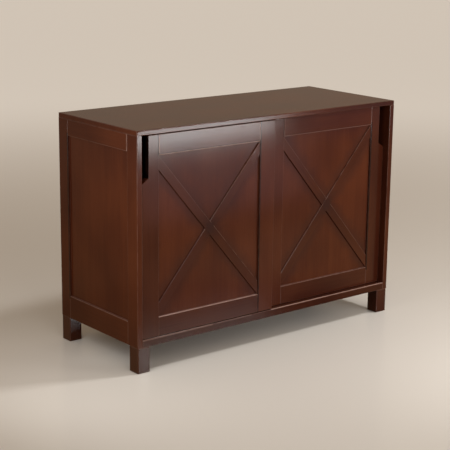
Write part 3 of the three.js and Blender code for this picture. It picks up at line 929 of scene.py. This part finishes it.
class CABINET_OT_doors(bpy.types.Operator):
    """Stain the doors and colour their running gear"""

    bl_idname = "cabinet.doors"
    bl_label = "Doors"

    def execute(self, context):
        finish = settings("finish")
        for side, hand in SIDES.items():
            door = side + "_door_"
            in_front = side == FRONT_DOOR
            dust_and_highlight = finish.dust_and_highlight if in_front else finish.sheltered_dust_and_highlight
            stile = door + "outer_stile"
            # Dark stain in the joint beside the top rail on the left door; painted shade beside the
            # recessed panel on the right door.
            seam = dark_seam_and_shade(stile, (0, -hand), door + ("top_rail" if hand < 0 else "panel"))
            # Painted shade inside the finger notch.
            stain_board(stile, stain=FRAME_TINT, patches=[seam, shaded_notch(stile, hand)])
            stile = door + "inner_stile"
            # Dark stain in the joint and painted shade beside the recessed panel, full length on
            # the front door; on the rear door only beside the top rail.
            limits = () if in_front else (door + "top_rail", REAR_SEAM)
            stain_board(stile, patches=[dark_seam_and_shade(stile, (0, hand), *limits)])
            hidden = (TENON, 0.0, 0.0)
            rail = door + "top_rail"
            # Painted highlights at the ends and the foot of the top rail, with a painted shade line
            # above its foot.
            rail_lines = finish.rail_lines * (1.0 if in_front else REAR_RAIL_LINES)
            patches = [rail_end_highlight(rail, (0, end), rail_lines) for end in (-1, 1)]
            patches += rail_foot_light_and_shade(rail, rail_lines)
            stain_board(rail, "across", hidden=hidden, patches=patches)
            rail = door + "bottom_rail"
            # Pale dust and painted highlight on the bottom rail's ledge.
            ledge = dusty_lit_ledge(rail, dust_and_highlight)
            stain_board(rail, "across", hidden=hidden, stain=FRAME_TINT, patches=[ledge])
            # Gathered stain round the crossing, and painted shade on the panel beside the braces.
            pool = gathered_stain_and_shade(door, POOL_ALONG)
            clouds = [cloud(door)] if in_front else []
            hidden = (TENON, 0.0, TENON)
            stain_board(door + "panel", hidden=hidden, stain=PANEL_TINT, pool=pool, patches=clouds)
            pool = gathered_stain_and_shade(door, 0.0)
            stain_brace(door + "outer_brace", hand, pool, clouds)
            brace = door + "inner_brace"
            # Painted shade over the lower half of the front door's inner brace.
            foot_shade = [brace_foot_shade(brace)] if in_front else []
            stain_brace(brace, -hand, pool, clouds + foot_shade)
            for end in ("outer", "inner"):
                for runner in ("glide", "guide"):
                    dress(f"{door}{end}_{runner}", bpy.data.materials["nylon"])
        return {"FINISHED"}


def spaced(low, high, spacing):
    """Evenly spaced places from low to high, no further apart than the spacing."""
    count = math.ceil((high - low) / spacing)
    return [low + (high - low) * step / count for step in range(count + 1)]


class CABINET_OT_fixings(bpy.types.Operator):
    """Model the screws of the back board and the shelf cleats"""

    bl_idname = "cabinet.fixings"
    bl_label = "Screws"

    def execute(self, context):
        fixings = settings("fixings")
        low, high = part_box("back_panel")
        left, right = low.x + BACK_INSET, high.x - BACK_INSET
        foot, head = low.z + BACK_FOOT, high.z - BACK_INSET
        rows = [(x, z) for z in (foot, head) for x in spaced(left, right, fixings.back_spacing)]
        uprights = spaced(foot, head, fixings.back_spacing)[1:-1]
        rows += [(x, z) for x in (left, right) for z in uprights]
        places = [Vector((x, high.y, z)) for x, z in rows]
        set_screws("back_screws", places, [(0.0, 1.0, 0.0)] * len(places))

        places = []
        facing = []
        for side, hand in SIDES.items():
            for end, way in (("outer", -hand), ("inner", hand)):
                low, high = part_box(f"{side}_{end}_shelf_cleat")
                x = high.x if way > 0 else low.x
                margin = (high.y - low.y) * CLEAT_INSET
                for y in spaced(low.y + margin, high.y - margin, fixings.cleat_spacing):
                    places.append(Vector((x, y, (low.z + high.z) / 2)))
                    facing.append((way, 0.0, 0.0))
        set_screws("cleat_screws", places, facing)
        return {"FINISHED"}


def lamp(name, location, target, size, watts, tint):
    """A rectangular lamp that faces its target."""
    data = bpy.data.lights.new(name, "AREA")
    data.shape = "RECTANGLE"
    data.size, data.size_y = size
    data.energy = watts
    data.color = tint
    light = bpy.data.objects.new(name, data)
    bpy.context.collection.objects.link(light)
    light.location = location
    light.rotation_mode = "QUATERNION"
    light.rotation_quaternion = (Vector(target) - Vector(location)).to_track_quat("-Z", "Y")
    light.visible_camera = False


def floor_material(stage):
    """A satin floor that is pale to the camera and gives back less light to the cabinet."""
    material, tree = new_material("floor")
    path = put(tree, "LightPath").outputs
    seen = path["Is Camera Ray"]
    place = put(tree, "TexCoord").outputs["Object"]
    reach = measure(tree, "LENGTH", place)
    # Painted shadow on the floor before the doors, which the camera doesn't see.
    aside = measure(tree, "DISTANCE", place, DARK_FLOOR)
    shaded = ease(tree, aside, *DARK_FADE, stage.darker, 0.0)
    plain = blend(tree, shaded, rgba(stage.floor), rgba(BLACK))
    distant = ease(tree, reach, *MIRRORED_FADE, 0.0, stage.mirrored)
    mirrored = maths(tree, "MULTIPLY", path["Is Glossy Ray"], distant)
    mirrored = maths(tree, "MAXIMUM", seen, mirrored)
    glow = maths(tree, "MULTIPLY", seen, ease(tree, reach, *GLOW_FADE, 0.0, FLOOR_GLOW))
    finish_material(
        tree,
        {
            "Base Color": blend(tree, mirrored, plain, rgba(stage.pale)),
            "Roughness": stage.floor_roughness,
            "Specular IOR Level": stage.floor_gloss,
            "Emission Color": blend(tree, glow, rgba(BLACK), rgba(stage.pale)),
            "Emission Strength": 1.0,
        },
    )
    return material


class CABINET_OT_stage(bpy.types.Operator):
    """Make the floor, the lamps and the camera"""

    bl_idname = "cabinet.stage"
    bl_label = "Stage"

    def execute(self, context):
        stage = settings("stage")
        scene = context.scene
        bpy.ops.object.select_all(action="DESELECT")
        bpy.ops.mesh.primitive_plane_add(size=FLOOR_WIDTH, location=(0.0, 0.0, 0.0))
        floor = context.object
        floor.name = "floor"
        floor.data.materials.append(floor_material(stage))

        scene.world = scene.world or bpy.data.worlds.new("room")
        scene.world.use_nodes = True
        tree = scene.world.node_tree
        tree.nodes.clear()
        seen = put(tree, "LightPath").outputs["Is Camera Ray"]
        glow = put(
            tree,
            "Background",
            {
                "Color": blend(tree, seen, rgba(stage.room), rgba(stage.pale)),
                "Strength": ease(tree, seen, 0.0, 1.0, stage.room_strength, 1.0),
            },
        )
        put(tree, "OutputWorld", {"Surface": glow.outputs[0]})

        for name, (place, target, size) in LAMPS.items():
            watts = getattr(stage, name + "_power")
            lamp(name, place, target, size, watts, getattr(stage, name + "_tint", WHITE))

        camera = bpy.data.objects.new("camera", bpy.data.cameras.new("camera"))
        context.collection.objects.link(camera)
        camera.data.sensor_width = 36.0
        camera.data.lens = stage.lens
        camera.data.clip_end = 100.0
        camera.location = CAMERA_PLACE
        camera.rotation_euler = [math.radians(angle) for angle in CAMERA_TURN]
        scene.camera = camera
        scene.view_settings.view_transform = "Standard"
        return {"FINISHED"}


OPERATORS = (
    CABINET_OT_shared,
    CABINET_OT_boards,
    CABINET_OT_sides,
    CABINET_OT_legs,
    CABINET_OT_doors,
    CABINET_OT_fixings,
    CABINET_OT_stage,
)
GROUPS = {"finish": CabinetFinish, "fixings": CabinetFixings, "stage": CabinetStage}


class CABINET_PT_panel(bpy.types.Panel):
    """The cabinet's settings and steps"""

    bl_idname = "CABINET_PT_panel"
    bl_label = "Cabinet"
    bl_space_type = "VIEW_3D"
    bl_region_type = "UI"
    bl_category = "Cabinet"

    def draw(self, context):
        for name, group in GROUPS.items():
            box = self.layout.box()
            box.label(text=name.capitalize())
            for field in group.__annotations__:
                box.prop(settings(name), field)
        for operator in OPERATORS:
            self.layout.operator(operator.bl_idname)


def register():
    for group in GROUPS.values():
        bpy.utils.register_class(group)
    for operator in OPERATORS:
        bpy.utils.register_class(operator)
    bpy.utils.register_class(CABINET_PT_panel)
    for name, group in GROUPS.items():
        setattr(bpy.types.Scene, "cabinet_" + name, bpy.props.PointerProperty(type=group))


def unregister():
    for name in GROUPS:
        delattr(bpy.types.Scene, "cabinet_" + name)
    bpy.utils.unregister_class(CABINET_PT_panel)
    for operator in reversed(OPERATORS):
        bpy.utils.unregister_class(operator)
    for group in reversed(GROUPS.values()):
        bpy.utils.unregister_class(group)


def main():
    register()
    bpy.ops.cabinet.shared()
    bpy.ops.cabinet.boards()
    bpy.ops.cabinet.sides()
    bpy.ops.cabinet.legs()
    bpy.ops.cabinet.doors()
    bpy.ops.cabinet.fixings()
    bpy.ops.cabinet.stage()


if __name__ == "__main__":
    main()
